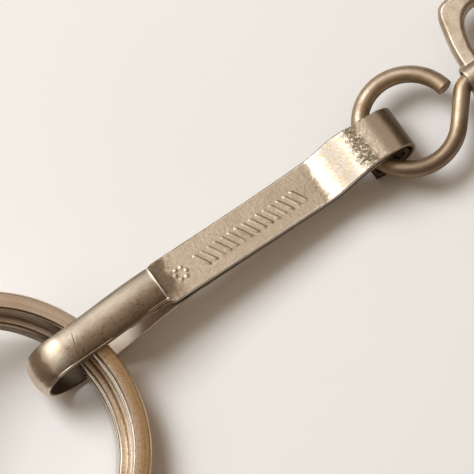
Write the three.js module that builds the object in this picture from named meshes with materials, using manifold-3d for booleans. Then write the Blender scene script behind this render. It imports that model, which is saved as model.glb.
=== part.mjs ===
// Curb-bit key fob: a split ring, a spring hook of two nested strips, a wire swivel eye and a
// miniature curb bit. Millimetres, +Z up. +X runs from the split ring towards the bit, Y is across,
// and the fob lies on the plane z = 0.

import * as THREE from 'three';
import { mergeVertices } from 'three/addons/utils/BufferGeometryUtils.js';
import Module from 'manifold-3d';

const wasm = await Module();
wasm.setup();

// ---- driving dimensions -------------------------------------------------------------------

const DEG = Math.PI / 180;
const GAP = 0.3; // running gap between neighbouring pieces

// spring hook, in the hook's own frame: x along the strip, z = 0 on the gate's upper face
const STRIP_WIDTH = 4.6;
const GATE_THICKNESS = 0.45;
const BODY_THICKNESS = 0.5;
const LAYER_DEPTH = GATE_THICKNESS + GAP + BODY_THICKNESS;
const GATE_TRAVEL_GAP = 0.2; // extra room below the gate where its free part begins
const HOOK_PITCH = 4.85 * DEG; // the loop end lies lower than the bend end
const HOOK_LIFT = 4.99; // from the ground to the hook frame's origin
const DOME_END_X = -3.3;
const DOME_EDGE_Z = 0.85;
const DOME_CROWN = 0.75;
const DOME_TIP_HALF_WIDTH = 1.94;
const DOME_TIP_HOLLOW = 0.14; // the dome's end edge curves in a little at mid-strip
const DOME_BELLY = 0.04; // how much wider the dome grows between its end and the bend
const BEND_CENTRE = { x: -14.5, z: -2.85 };
const BEND_RADIUS = 3.4;
const BEND_HALF_WIDTH = 1.9;
const BEND_LEAN = -0.4; // the bent end sits a little towards -Y
const GATE_TIP_X = -8.5;
const GATE_TIP_ROUNDING = 0.9;
const GATE_SHOULDER_X = -2.7; // here the gate narrows to a tongue that runs under the dome
const GATE_TONGUE_HALF_WIDTH = 2.0;
const GATE_SHOULDER_LENGTH = 1.1;
const LOOP_CENTRE = { x: 22.75, z: -0.2 };
const LOOP_RADIUS = 2.85;
const RAMP_FOOT_X = 16.2;
const LOOP_START_X = RAMP_FOOT_X - 1.6; // the flat ends here and the bend up begins
const RAMP_SPREAD = 0.2; // the gate widens towards +Y up to the ramp, and narrows again above it
const SPREAD_PEAK_X = RAMP_FOOT_X + 1.2;
const SPREAD_RISE = 7; // length over which it grows by a factor of e
const SPREAD_FALL = 3.4; // length over which it is lost again

// split ring: one flat wire wound into two coils
const RING_OUTER_RADIUS = 15.3;
const RING_WIRE_WIDTH = 1.95;
const RING_WIRE_HEIGHT = 2.05;
const RING_WIRE_ROUNDING = 0.5;
const RING_PITCH = RING_WIRE_HEIGHT + 0.15;
const RING_LOWER_INSET = 0.8; // the lower coil is wound a little tighter
const RING_STEP_HALF_ANGLE = 20 * DEG;
const RING_END_CLEARANCE = 5 * DEG;
const RING_STEP_DIRECTION = 200 * DEG;
const RING_CENTRE = new THREE.Vector3(-25.14, -4.8, 1.55); // of its top face, in the hook's frame
const RING_NORMAL = new THREE.Vector3(0.202, -0.147, 0.968).normalize();

// wire swivel eye, lying parallel to the ground
const WIRE_RADIUS = 0.86;
const EYE_RADIUS = 4.87;
const EYE_HOOK_X = 21.56; // where the wire crosses the hook's loop, in the hook's frame
const EYE_CUT_ANGLE = 8 * DEG;
const EYE_LEAVE_ANGLE = -38 * DEG; // here the wire leaves its circle for the neck
const SHANK_END_X = 10.2; // from the eye's centre
const SHANK_HEAD_RADIUS = 1.35;
const SHANK_HEAD_THICKNESS = 0.6;

// middle of the ground that the fob covers, which becomes the origin
const FOOTPRINT_CENTRE = new THREE.Vector3(11.7, -3.35, -0.05);

// miniature curb bit, x measured from the foot of its swivel barrel
const BIT_FROM_EYE_CENTRE = 6.9;
const BAR_THICKNESS = 2.0;
const BAR_BEVEL = 0.35;
const BAR_HALF_WIDTH = 8.05;
const BAR_INNER_HALF_WIDTH = 6.1;
const BAR_END_X = 8.2;
const RIVET_X = BAR_END_X - 1.0;
const BARREL_RADIUS = 1.55;
const BARREL_LENGTH = 2.5;
const CHEEK_THICKNESS = 1.2;
const CHEEK_BEVEL = 0.25;
const CHEEK_Y = BAR_HALF_WIDTH + GAP; // inner face
const CHEEK_OUTER_Y = CHEEK_Y + CHEEK_THICKNESS;
const CHEEK_FOOT_X = 6.4;
const MOUTH_X = 20.5;
const PURCHASE_X = 27.4;
const SHANK_HALF_HEIGHT = 1.25;
const BOSS_RADIUS = 3.15;
const PURCHASE_RADIUS = 2.75;
const PURCHASE_HOLE_RADIUS = 1.35;
const REIN_LUG = { x: 10.8, z: 2.15, radius: 1.75, hole: 0.95 };
const REIN_WIRE_RADIUS = 0.55;
const REIN_RING_RADIUS = 2.8;
const RIVET_RADIUS = 0.6;
const RIVET_HEAD_RADIUS = 1.1;
const RIVET_HEAD_TOP_RADIUS = 0.8;
const RIVET_HEAD_HEIGHT = 0.45;
const MOUTH_RADIUS = 1.35;
const TENON_RADIUS = 0.81;
const TENON_PROUD = 0.15; // how far the tenon stands out of the cheek
const PORT_HALF_WIDTH = 2.3;
const PORT_HEIGHT = 3.6;

// ---- finishes -----------------------------------------------------------------------------

function metal(color, roughness) {
  return new THREE.MeshStandardMaterial({ color, roughness, metalness: 1 });
}

const NICKEL = metal(0xa89c8c, 0.38);
const DARK_NICKEL = metal(0x8f8578, 0.42);
const WORN_NICKEL = metal(0xa8926c, 0.36);

// ---- solids -------------------------------------------------------------------------------

function toManifold(geometry) {
  const bare = geometry.clone();
  bare.deleteAttribute('normal');
  bare.deleteAttribute('uv');
  const merged = mergeVertices(bare, 1e-4);
  return new wasm.Manifold(new wasm.Mesh({
    numProp: 3,
    vertProperties: new Float32Array(merged.attributes.position.array),
    triVerts: new Uint32Array(merged.index.array),
  }));
}

function fromManifold(solid) {
  const { vertProperties, triVerts } = solid.getMesh();
  const geometry = new THREE.BufferGeometry();
  geometry.setAttribute('position', new THREE.BufferAttribute(new Float32Array(vertProperties), 3));
  geometry.setIndex(Array.from(triVerts));
  geometry.computeVertexNormals();
  return geometry;
}

function join(...geometries) {
  return fromManifold(geometries.map(toManifold).reduce((sum, next) => sum.add(next)));
}

function cut(geometry, ...tools) {
  const left = tools.map(toManifold).reduce((rest, tool) => rest.subtract(tool), toManifold(geometry));
  return fromManifold(left);
}

function piece(name, geometry, material) {
  const mesh = new THREE.Mesh(geometry, material);
  mesh.name = name;
  return mesh;
}

// A rod of round section along y, centred on the origin.
function rodY(radius, length, segments = 32) {
  return new THREE.CylinderGeometry(radius, radius, length, segments);
}

function rodX(radius, length, segments = 32) {
  return rodY(radius, length, segments).rotateZ(-Math.PI / 2);
}

function circleShape(radius, segments) {
  const points = [];
  for (let i = 0; i < segments; i++) {
    const angle = (i / segments) * 2 * Math.PI;
    points.push(new THREE.Vector2(radius * Math.cos(angle), radius * Math.sin(angle)));
  }
  return new THREE.Shape(points);
}

function tube(path, radius, steps, sides) {
  return new THREE.ExtrudeGeometry(circleShape(radius, sides), { steps, extrudePath: path });
}

// ---- strips of sheet metal ----------------------------------------------------------------

// Points and right-hand normals along a curve in the x-z plane.
function stationsAlong(curve, count) {
  const stations = [];
  for (let i = 0; i <= count; i++) {
    const point = curve.getPointAt(i / count);
    const tangent = curve.getTangentAt(i / count);
    stations.push({ x: point.x, z: point.y, nx: tangent.y, nz: -tangent.x });
  }
  return stations;
}

function offsetStations(stations, distance) {
  return stations.map((s) => ({ ...s, x: s.x + s.nx * distance, z: s.z + s.nz * distance }));
}

// A strip whose faced side follows the stations. Each station gives its half width, its crown,
// the height of the faced side's middle above its edges, and if it has them its sideways lean and
// the hollow of its end edge.
function strip(stations, thickness, across) {
  const rows = stations.length;
  const columns = across + 1;
  const positions = [];
  for (const side of [0, -thickness]) {
    for (const s of stations) {
      for (let j = 0; j < columns; j++) {
        const u = (2 * j) / across - 1;
        const rise = s.crown * Math.sqrt(1 - 0.9 * u * u) - s.crown * Math.sqrt(0.1) + side;
        const along = (s.hollow ?? 0) * (1 - u * u);
        positions.push(s.x + s.nx * rise - along, u * s.halfWidth + (s.lean ?? 0), s.z + s.nz * rise);
      }
    }
  }
  const at = (layer, row, column) => layer * rows * columns + row * columns + column;
  const index = [];
  const quad = (a, b, c, d) => index.push(a, b, c, a, c, d);
  for (let i = 0; i < rows - 1; i++) {
    for (let j = 0; j < across; j++) {
      quad(at(0, i, j), at(0, i, j + 1), at(0, i + 1, j + 1), at(0, i + 1, j));
      quad(at(1, i, j), at(1, i + 1, j), at(1, i + 1, j + 1), at(1, i, j + 1));
    }
    quad(at(0, i, 0), at(0, i + 1, 0), at(1, i + 1, 0), at(1, i, 0));
    quad(at(0, i, across), at(1, i, across), at(1, i + 1, across), at(0, i + 1, across));
  }
  for (let j = 0; j < across; j++) {
    quad(at(0, 0, j), at(1, 0, j), at(1, 0, j + 1), at(0, 0, j + 1));
    quad(at(0, rows - 1, j), at(0, rows - 1, j + 1), at(1, rows - 1, j + 1), at(1, rows - 1, j));
  }
  const geometry = new THREE.BufferGeometry();
  geometry.setAttribute('position', new THREE.Float32BufferAttribute(positions, 3));
  geometry.setIndex(index);
  geometry.computeVertexNormals();
  return geometry;
}

const v2 = (x, z) => new THREE.Vector2(x, z);
const smooth = (t) => THREE.MathUtils.smoothstep(t, 0, 1);

// The gate's upper face from mid-strip, up the ramp, round the loop and back below.
function loopCurve() {
  const { x, z } = LOOP_CENTRE;
  const r = LOOP_RADIUS;
  return new THREE.SplineCurve([
    v2(LOOP_START_X, 0),
    v2(RAMP_FOOT_X - 0.4, 0.03),
    v2(RAMP_FOOT_X + 0.9, 0.48),
    v2(RAMP_FOOT_X + 3.2, 2.0),
    v2(x - 1.3, z + r * 0.99),
    v2(x + 0.2, z + r * 0.95),
    v2(x + r * 0.72, z + r * 0.66),
    v2(x + r, z - 0.1),
    v2(x + r * 0.72, z - r * 0.74),
    v2(x, z - r),
    v2(x - 1.7, z - r * 0.94),
  ]);
}

function gateGeometry() {
  const straight = stationsAlong(new THREE.LineCurve(v2(GATE_TIP_X, 0), v2(LOOP_START_X, 0)), 26);
  const loop = stationsAlong(loopCurve(), 32);
  const outline = [...straight.slice(0, -1), ...loop].map((s) => {
    const taper = smooth((s.x - GATE_SHOULDER_X + 1) / GATE_SHOULDER_LENGTH);
    const past = s.x - SPREAD_PEAK_X;
    const falling = Math.max(0, 1 - (past / SPREAD_FALL) ** 2);
    const spread = RAMP_SPREAD * (past < 0 ? Math.exp(past / SPREAD_RISE) : falling);
    const fullWidth = STRIP_WIDTH / 2 + spread;
    const short = Math.max(0, 1 - (s.x - GATE_TIP_X) / GATE_TIP_ROUNDING);
    const tongue = GATE_TONGUE_HALF_WIDTH - GATE_TIP_ROUNDING * (1 - Math.sqrt(1 - short * short));
    const halfWidth = THREE.MathUtils.lerp(tongue, fullWidth, taper);
    return { ...s, halfWidth, lean: spread, crown: 0 };
  });
  // The stations' normals point below the strip, so the faced side is the lower one.
  return strip(offsetStations(outline, GATE_THICKNESS), GATE_THICKNESS, 4);
}

// The hook's outer face from the dome's end, round the bend and along the lower leaf.
function hookCurve() {
  const { x, z } = BEND_CENTRE;
  const curve = new THREE.CurvePath();
  const bendTop = v2(x, z + BEND_RADIUS);
  const bendBottom = v2(x, z - BEND_RADIUS);
  curve.add(new THREE.CubicBezierCurve(v2(DOME_END_X, DOME_EDGE_Z), v2(DOME_END_X - 4, DOME_EDGE_Z + 0.05),
    v2(x + 4, bendTop.y), bendTop));
  curve.add(new THREE.EllipseCurve(x, z, BEND_RADIUS, BEND_RADIUS, Math.PI / 2, (3 * Math.PI) / 2, false));
  curve.add(new THREE.CubicBezierCurve(bendBottom, v2(x + 5.3, bendBottom.y), v2(-5, -1.8),
    v2(0, -LAYER_DEPTH - GATE_TRAVEL_GAP)));
  return curve;
}

function hookBodyGeometry() {
  const hook = stationsAlong(hookCurve(), 48);
  const leafEnd = v2(LOOP_START_X, -LAYER_DEPTH);
  const straight = stationsAlong(new THREE.LineCurve(v2(0, -LAYER_DEPTH - GATE_TRAVEL_GAP), leafEnd), 8);
  const loop = offsetStations(stationsAlong(loopCurve(), 32), LAYER_DEPTH);
  const shaped = [...hook.slice(0, -1), ...straight.slice(0, -1), ...loop].map((s, i) => {
    if (i >= hook.length) return { ...s, halfWidth: STRIP_WIDTH / 2, crown: 0 };
    const turned = Math.acos(THREE.MathUtils.clamp(s.nz, -1, 1)) / Math.PI;
    const intoBend = smooth((DOME_END_X - s.x) / (DOME_END_X - BEND_CENTRE.x));
    const ontoLeaf = s.nz < 0 ? smooth((s.x - BEND_CENTRE.x + 1) / 5) : 0;
    const bendHalfWidth = s.nz < 0
      ? THREE.MathUtils.lerp(BEND_HALF_WIDTH, STRIP_WIDTH / 2, ontoLeaf)
      : THREE.MathUtils.lerp(DOME_TIP_HALF_WIDTH, BEND_HALF_WIDTH, intoBend);
    const belly = s.nz > 0 ? DOME_BELLY * Math.sin(Math.PI * intoBend) : 0;
    return {
      ...s,
      halfWidth: bendHalfWidth + belly,
      lean: BEND_LEAN * intoBend * (1 - ontoLeaf),
      crown: DOME_CROWN * (1 - smooth((turned - 0.5) / 0.5)),
      hollow: i === 0 ? DOME_TIP_HOLLOW : 0,
    };
  });
  return strip(shaped, BODY_THICKNESS, 8);
}

// ---- split ring ---------------------------------------------------------------------------

function roundedRectangle(width, height, radius) {
  const shape = new THREE.Shape();
  const w = width / 2 - radius;
  const h = height / 2 - radius;
  shape.absarc(w, h, radius, 0, Math.PI / 2);
  shape.absarc(-w, h, radius, Math.PI / 2, Math.PI);
  shape.absarc(-w, -h, radius, Math.PI, 1.5 * Math.PI);
  shape.absarc(w, -h, radius, 1.5 * Math.PI, 2 * Math.PI);
  return shape;
}

class SplitRingCurve extends THREE.Curve {
  getPoint(t, target = new THREE.Vector3()) {
    const first = RING_STEP_HALF_ANGLE + RING_END_CLEARANCE;
    const turn = first + t * (4 * Math.PI - 2 * first);
    const step = smooth((turn - 2 * Math.PI + RING_STEP_HALF_ANGLE) / (2 * RING_STEP_HALF_ANGLE));
    const radius = RING_OUTER_RADIUS - RING_WIRE_WIDTH / 2 - RING_LOWER_INSET * (1 - step);
    const angle = turn + RING_STEP_DIRECTION;
    return target.set(radius * Math.cos(angle), radius * Math.sin(angle),
      -RING_WIRE_HEIGHT / 2 - RING_PITCH * (1 - step));
  }
}

function splitRingGeometry() {
  const section = roundedRectangle(RING_WIRE_HEIGHT, RING_WIRE_WIDTH, RING_WIRE_ROUNDING);
  return new THREE.ExtrudeGeometry(section, {
    steps: 110,
    curveSegments: 2,
    extrudePath: new SplitRingCurve(),
  });
}

// ---- wire swivel eye ----------------------------------------------------------------------

function eyeGeometry() {
  const path = new THREE.CurvePath();
  const points = [];
  for (let angle = EYE_CUT_ANGLE; angle < 2 * Math.PI + EYE_LEAVE_ANGLE; angle += 6 * DEG) {
    points.push(new THREE.Vector3(EYE_RADIUS * Math.cos(angle), EYE_RADIUS * Math.sin(angle), 0));
  }
  const neck = [[0.4, -1.3], [0.85, -0.76], [1.28, -0.32], [1.73, -0.07], [2.1, 0]];
  for (const [x, y] of neck) points.push(new THREE.Vector3(EYE_RADIUS + x, y, 0));
  path.add(new THREE.CatmullRomCurve3(points));
  path.add(new THREE.LineCurve3(points[points.length - 1], new THREE.Vector3(SHANK_END_X, 0, 0)));
  const head = rodX(SHANK_HEAD_RADIUS, SHANK_HEAD_THICKNESS, 24).translate(SHANK_END_X, 0, 0);
  return join(tube(path, WIRE_RADIUS, 72, 12), head);
}

// ---- miniature curb bit -------------------------------------------------------------------

function flatPlate(shape, thickness, bevel) {
  const geometry = new THREE.ExtrudeGeometry(shape, {
    depth: thickness - 2 * bevel,
    curveSegments: 8,
    bevelEnabled: true,
    bevelThickness: bevel,
    bevelSize: bevel,
    bevelOffset: -bevel,
    bevelSegments: 1,
  });
  return geometry.translate(0, 0, -thickness / 2 + bevel);
}

// Half of the bar's outline, from the middle of its outer edge to the middle of its inner edge.
function barHalf(shape, side) {
  const outer = side * BAR_HALF_WIDTH;
  const inner = side * BAR_INNER_HALF_WIDTH;
  shape.moveTo(0.35, 0);
  shape.bezierCurveTo(0.4, side * 2.6, 0.5, side * 3.6, 1.0, side * 5.4);
  shape.bezierCurveTo(1.35, side * 6.9, 1.5, outer, 3.2, outer);
  shape.lineTo(BAR_END_X, outer);
  shape.lineTo(BAR_END_X, inner);
  shape.lineTo(5.0, inner);
  shape.bezierCurveTo(3.2, inner, 2.7, side * 4.2, 2.35, side * 2.4);
  shape.lineTo(2.25, 0);
  return shape;
}

function slobberBarGeometry() {
  const left = barHalf(new THREE.Shape(), 1).getPoints(8);
  const right = barHalf(new THREE.Shape(), -1).getPoints(8);
  const outline = new THREE.Shape([...left, ...right.reverse().slice(1, -1)]);
  const barrel = rodX(BARREL_RADIUS, BARREL_LENGTH).translate(BARREL_LENGTH / 2, 0, 0);
  const bore = rodX(WIRE_RADIUS + GAP, BARREL_LENGTH + 2).translate(BARREL_LENGTH / 2, 0, 0);
  const rivetHoles = rodY(RIVET_RADIUS + GAP, 2 * BAR_HALF_WIDTH + 2, 24).translate(RIVET_X, 0, 0);
  return cut(join(flatPlate(outline, BAR_THICKNESS, BAR_BEVEL), barrel), bore, rivetHoles);
}

// The cheek's side view: foot, shank with its rein lug, boss at the mouthpiece, and purchase eye.
function cheekGeometry() {
  const half = SHANK_HALF_HEIGHT;
  const shank = new THREE.Shape();
  shank.moveTo(CHEEK_FOOT_X, -half);
  shank.bezierCurveTo(11, -half - 1.1, 15, -half + 0.3, MOUTH_X, -1.5);
  shank.bezierCurveTo(23, -1.6, 24, -1.2, PURCHASE_X, -1.0);
  shank.lineTo(PURCHASE_X, 1.0);
  shank.bezierCurveTo(24, 0.9, 23, 1.6, MOUTH_X, 1.5);
  shank.bezierCurveTo(15, half + 0.6, 11, half - 0.9, CHEEK_FOOT_X, half);
  shank.absarc(CHEEK_FOOT_X, 0, half, Math.PI / 2, 1.5 * Math.PI);
  const plate = (shape) => flatPlate(shape, CHEEK_THICKNESS, CHEEK_BEVEL);
  const disc = (x, z, radius) => plate(circleShape(radius, 28)).translate(x, z, 0);
  const hole = (x, z, radius) => rodY(radius, 4, 20).rotateX(Math.PI / 2).translate(x, z, 0);
  const outline = join(
    plate(shank),
    disc(MOUTH_X, 0, BOSS_RADIUS),
    disc(PURCHASE_X, 0, PURCHASE_RADIUS),
    disc(REIN_LUG.x, REIN_LUG.z, REIN_LUG.radius),
  );
  const drilled = cut(
    outline,
    hole(RIVET_X, 0, RIVET_RADIUS + GAP),
    hole(MOUTH_X, 0, TENON_RADIUS + GAP),
    hole(PURCHASE_X, 0, PURCHASE_HOLE_RADIUS),
    hole(REIN_LUG.x, REIN_LUG.z, REIN_LUG.hole),
  );
  return drilled.rotateX(Math.PI / 2);
}

// A bar with a raised port in the middle and a round tenon at each end.
function mouthpieceGeometry() {
  const bar = CHEEK_Y - GAP;
  const end = CHEEK_OUTER_Y + TENON_PROUD;
  const half = [
    [PORT_HEIGHT - 0.7, PORT_HALF_WIDTH - 0.45],
    [1.0, PORT_HALF_WIDTH - 0.15],
    [0.1, PORT_HALF_WIDTH + 0.9],
    [0, 5.0],
    [0, bar],
  ];
  const path = new THREE.CatmullRomCurve3([
    ...half.toReversed().map(([x, y]) => new THREE.Vector3(x, -y, 0)),
    new THREE.Vector3(PORT_HEIGHT, 0, 0),
    ...half.map(([x, y]) => new THREE.Vector3(x, y, 0)),
  ]);
  const root = 1; // how far the tenon reaches into the bar
  const middle = (end + bar - root) / 2;
  const tenon = (side) => rodY(TENON_RADIUS, end - bar + root, 24).translate(0, side * middle, 0);
  return join(tube(path, MOUTH_RADIUS, 44, 14), tenon(1), tenon(-1));
}

// A domed concho over the mouthpiece's tenon, outside the cheek.
function conchoGeometry() {
  const profile = [
    new THREE.Vector2(0, 0),
    new THREE.Vector2(2.5, 0),
    new THREE.Vector2(2.6, 0.3),
    new THREE.Vector2(2.3, 0.55),
    new THREE.Vector2(2.0, 0.5),
    new THREE.Vector2(1.6, 0.85),
    new THREE.Vector2(0.9, 1.2),
    new THREE.Vector2(0, 1.35),
  ];
  return new THREE.LatheGeometry(profile, 24);
}

// A rivet through bar and cheek, with a coned head at each end.
function rivetGeometry() {
  const inner = BAR_INNER_HALF_WIDTH - GAP;
  const outer = CHEEK_OUTER_Y + GAP;
  const profile = [
    new THREE.Vector2(0, inner - RIVET_HEAD_HEIGHT),
    new THREE.Vector2(RIVET_HEAD_TOP_RADIUS, inner - RIVET_HEAD_HEIGHT),
    new THREE.Vector2(RIVET_HEAD_RADIUS, inner),
    new THREE.Vector2(RIVET_RADIUS, inner),
    new THREE.Vector2(RIVET_RADIUS, outer),
    new THREE.Vector2(RIVET_HEAD_RADIUS, outer),
    new THREE.Vector2(RIVET_HEAD_TOP_RADIUS, outer + RIVET_HEAD_HEIGHT),
    new THREE.Vector2(0, outer + RIVET_HEAD_HEIGHT),
  ];
  return new THREE.LatheGeometry(profile, 16);
}

// ---- assembly -----------------------------------------------------------------------------

const fob = new THREE.Group();
fob.position.copy(FOOTPRINT_CENTRE).negate();

const hook = new THREE.Group();
hook.rotation.y = HOOK_PITCH;
hook.position.z = HOOK_LIFT;
hook.add(piece('hook_body', hookBodyGeometry(), NICKEL));
hook.add(piece('hook_gate', gateGeometry(), NICKEL));
fob.add(hook);

const splitRing = piece('split_ring', splitRingGeometry(), WORN_NICKEL);
splitRing.position.copy(RING_CENTRE);
splitRing.quaternion.setFromUnitVectors(new THREE.Vector3(0, 0, 1), RING_NORMAL);
hook.add(splitRing);

const swivel = new THREE.Group();
swivel.position.set(
  EYE_HOOK_X * Math.cos(HOOK_PITCH) + EYE_RADIUS,
  0,
  HOOK_LIFT - EYE_HOOK_X * Math.sin(HOOK_PITCH),
);
swivel.add(piece('swivel_eye', eyeGeometry(), DARK_NICKEL));
fob.add(swivel);

const bit = new THREE.Group();
bit.position.x = BIT_FROM_EYE_CENTRE;
bit.add(piece('slobber_bar', slobberBarGeometry(), DARK_NICKEL));
const mouthpiece = piece('mouthpiece', mouthpieceGeometry(), NICKEL);
mouthpiece.position.x = MOUTH_X;
bit.add(mouthpiece);
for (const [side, sign] of [['left', 1], ['right', -1]]) {
  const cheek = piece(`cheek_${side}`, cheekGeometry(), DARK_NICKEL);
  cheek.position.y = sign * (CHEEK_Y + CHEEK_THICKNESS / 2);
  bit.add(cheek);

  const concho = piece(`concho_${side}`, conchoGeometry(), NICKEL);
  concho.rotation.x = sign > 0 ? 0 : Math.PI;
  concho.position.set(MOUTH_X, sign * (CHEEK_OUTER_Y + TENON_PROUD + GAP), 0);
  bit.add(concho);

  const rivet = piece(`cheek_rivet_${side}`, rivetGeometry(), NICKEL);
  rivet.rotation.x = sign > 0 ? 0 : Math.PI;
  rivet.position.x = RIVET_X;
  bit.add(rivet);

  const reinRing = piece(`rein_ring_${side}`,
    new THREE.TorusGeometry(REIN_RING_RADIUS, REIN_WIRE_RADIUS, 8, 32), WORN_NICKEL);
  reinRing.position.set(REIN_LUG.x + REIN_RING_RADIUS, sign * (CHEEK_Y + CHEEK_THICKNESS / 2), REIN_LUG.z);
  bit.add(reinRing);
}
swivel.add(bit);

export default fob;
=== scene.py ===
"""Looks for the curb-bit key fob: fine meshes, aged nickel and brass, a pale table and soft light."""

import math

import bmesh
import bpy
import numpy as np
from mathutils import Matrix, Vector


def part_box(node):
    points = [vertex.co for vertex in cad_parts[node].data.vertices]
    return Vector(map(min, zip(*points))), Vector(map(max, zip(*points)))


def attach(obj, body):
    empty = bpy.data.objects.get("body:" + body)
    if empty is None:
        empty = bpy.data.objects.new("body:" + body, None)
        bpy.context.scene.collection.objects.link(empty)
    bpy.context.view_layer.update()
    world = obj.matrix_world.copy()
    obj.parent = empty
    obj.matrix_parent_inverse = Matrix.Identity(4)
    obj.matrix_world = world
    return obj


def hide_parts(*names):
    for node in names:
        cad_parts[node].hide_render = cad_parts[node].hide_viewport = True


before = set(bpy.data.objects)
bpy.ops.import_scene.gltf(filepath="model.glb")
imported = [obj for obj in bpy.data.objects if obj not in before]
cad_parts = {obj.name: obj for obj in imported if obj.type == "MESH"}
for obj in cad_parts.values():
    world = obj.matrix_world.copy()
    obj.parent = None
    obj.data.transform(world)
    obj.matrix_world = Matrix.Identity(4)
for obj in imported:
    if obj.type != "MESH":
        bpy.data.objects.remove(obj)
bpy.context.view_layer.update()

MM = 0.001
UP = np.array([0, 0, 1.0])

# ---- the spring hook's dimensions, in millimetres and in the hook's own frame ---------------
# x runs along the strip, y across it, and z = 0 is the gate's upper face.

STRIP_WIDTH = 4.6
GATE_THICKNESS = 0.45
BODY_THICKNESS = 0.5
LAYER_GAP = 0.3  # between the two strips
LAYER_DEPTH = GATE_THICKNESS + LAYER_GAP + BODY_THICKNESS
GATE_TRAVEL_GAP = 0.2  # further down at the hook's end, for the gate to flex
HOOK_PITCH = math.radians(4.85)
HOOK_LIFT = 4.99
FOOTPRINT_CENTRE = np.array([11.7, -3.35, -0.05])
DOME_END_X = -3.3
DOME_EDGE_Z = 0.85
DOME_CROWN = 0.75
DOME_TIP_HALF_WIDTH = 1.94
DOME_TIP_HOLLOW = 0.14  # how far the middle of the dome's end is cut back
DOME_BELLY = 0.04  # how much its sides bulge
DOME_LIP = 0.15  # the burr that shearing left on the dome's end
DOME_HANDLE = 4  # length of the curve's handles over the dome
DOME_HANDLE_RISE = 0.05  # above the dome's end, which dips a little
BEND_X, BEND_Z = -14.5, -2.85
BEND_RADIUS = 3.4
BEND_HALF_WIDTH = 1.9
BEND_LEAN = -0.4  # how far the bend is off the strip's middle
LEAF_HANDLE = 5.3  # length of the curve's handle where the bend runs into the lower leaf
LEAF_END_HANDLE = (-5, -1.8)
LEAF_WIDENING_X = BEND_X - 1
LEAF_WIDENING_LENGTH = 5
GATE_TIP_X = -8.5
GATE_TIP_ROUNDING = 0.9
GATE_SHOULDER_X = -3.7
GATE_SHOULDER_LENGTH = 1.1
GATE_TONGUE_HALF_WIDTH = 2.0
LOOP_X, LOOP_Z = 22.75, -0.2
LOOP_RADIUS = 2.85
RAMP_FOOT_X = 16.2
LOOP_START_X = RAMP_FOOT_X - 1.6
RAMP_SPREAD = 0.2  # how much wider the strip is, on each side, where the ramp was pressed
SPREAD_PEAK_X = RAMP_FOOT_X + 1.2
SPREAD_RISE = 7
SPREAD_FALL = 3.4
EDGE_ROUNDING = 0.1  # of the strips' corners
EDGE_STEPS = 5
CROWN_ARC = 0.9  # a crown is the top of an ellipse, and 1 would be its whole upper half
END_SHRINK, NEXT_SHRINK = 1.0, 0.3  # of a cut end's two rows, in edge roundings
END_THINNING = 0.9  # the same through the thickness, times the row's shrink

STAMPED_SPACING = 0.065  # between rows, where the strip is stamped
LOOP_SPACING = 0.12
HOOK_SPACING = 0.1
STRAIGHT_SPACING = 0.3
CURVE_STEPS = 80
GATE_COLUMNS = 72
HOOK_COLUMNS = 40

STAMP_DEPTH = 0.08
STAMP_SOFTNESS = 0.19  # width of a stamped mark's sloping side
STAMP_LEFT, STAMP_WAVE = 0.65, 0.35  # the share of the depth that wear has left, and its variation
STROKE_START_X, STROKE_Y = 1.7, -0.2
STROKE_COUNT, STROKE_SPACING, STROKE_SLANT = 15, 0.82, -0.55
STROKE_HALF_LENGTH = 0.66
STROKE_HALF_BREADTH = 0.14
DOT_RING_X, DOT_RING_RADIUS, DOT_COUNT, DOT_RADIUS = -0.75, 0.62, 6, 0.15

# ---- the other pieces' dimensions, in millimetres -------------------------------------------

RING_OUTER_RADIUS = 15.3
RING_WIRE_WIDTH = 1.95
RING_WIRE_HEIGHT = 2.05
RING_WIRE_ROUNDING = 0.42
RING_CORNER_STEPS = 7
RING_ROWS = 760
RING_PITCH = RING_WIRE_HEIGHT + 0.15
RING_LOWER_INSET = 0.8
RING_STEP_HALF_ANGLE = math.radians(20)
RING_END_CLEARANCE = math.radians(5)
RING_STEP_DIRECTION = math.radians(200)
RING_CENTRE = np.array([-25.14, -4.8, 1.55])
RING_NORMAL = Vector((0.202, -0.147, 0.968)).normalized()

WIRE_RADIUS = 0.86
WIRE_SIDES = 40
WIRE_SPACING = 0.12
WIRE_END_ROUNDING = 0.22
EYE_RADIUS = 4.87
EYE_HOOK_X = 21.56
EYE_CUT_DEGREES, EYE_LEAVE_DEGREES, EYE_STEP_DEGREES = 8, 322, 6
# From the eye into its shank: x from the eye's radius outward, and y from the shank's middle.
EYE_NECK = [(0.4, -1.3), (0.85, -0.76), (1.28, -0.32), (1.73, -0.07), (2.1, 0)]
SHANK_END_X = 10.2
SHANK_SPACING = 0.06
SHANK_HEAD_RADIUS = 1.35
SHANK_HEAD_THICKNESS = 0.6
SHANK_HEAD_FLARE = 0.12

REIN_WIRE_RADIUS = 0.55
REIN_WIRE_SIDES = 28
REIN_RING_RADIUS = 2.8
REIN_RING_ROWS = 120

CASTING_SOFTNESS = 0.5  # how strong each round of smoothing is

# ---- where the wear and the painted light and shade lie, in millimetres along a strip -------
# The gate's places count from the hook's x = 0, and the hook's from the dome's end. A fade says
# where a mark starts and where it is full. The other pairs are a mark's two ends.

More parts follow.
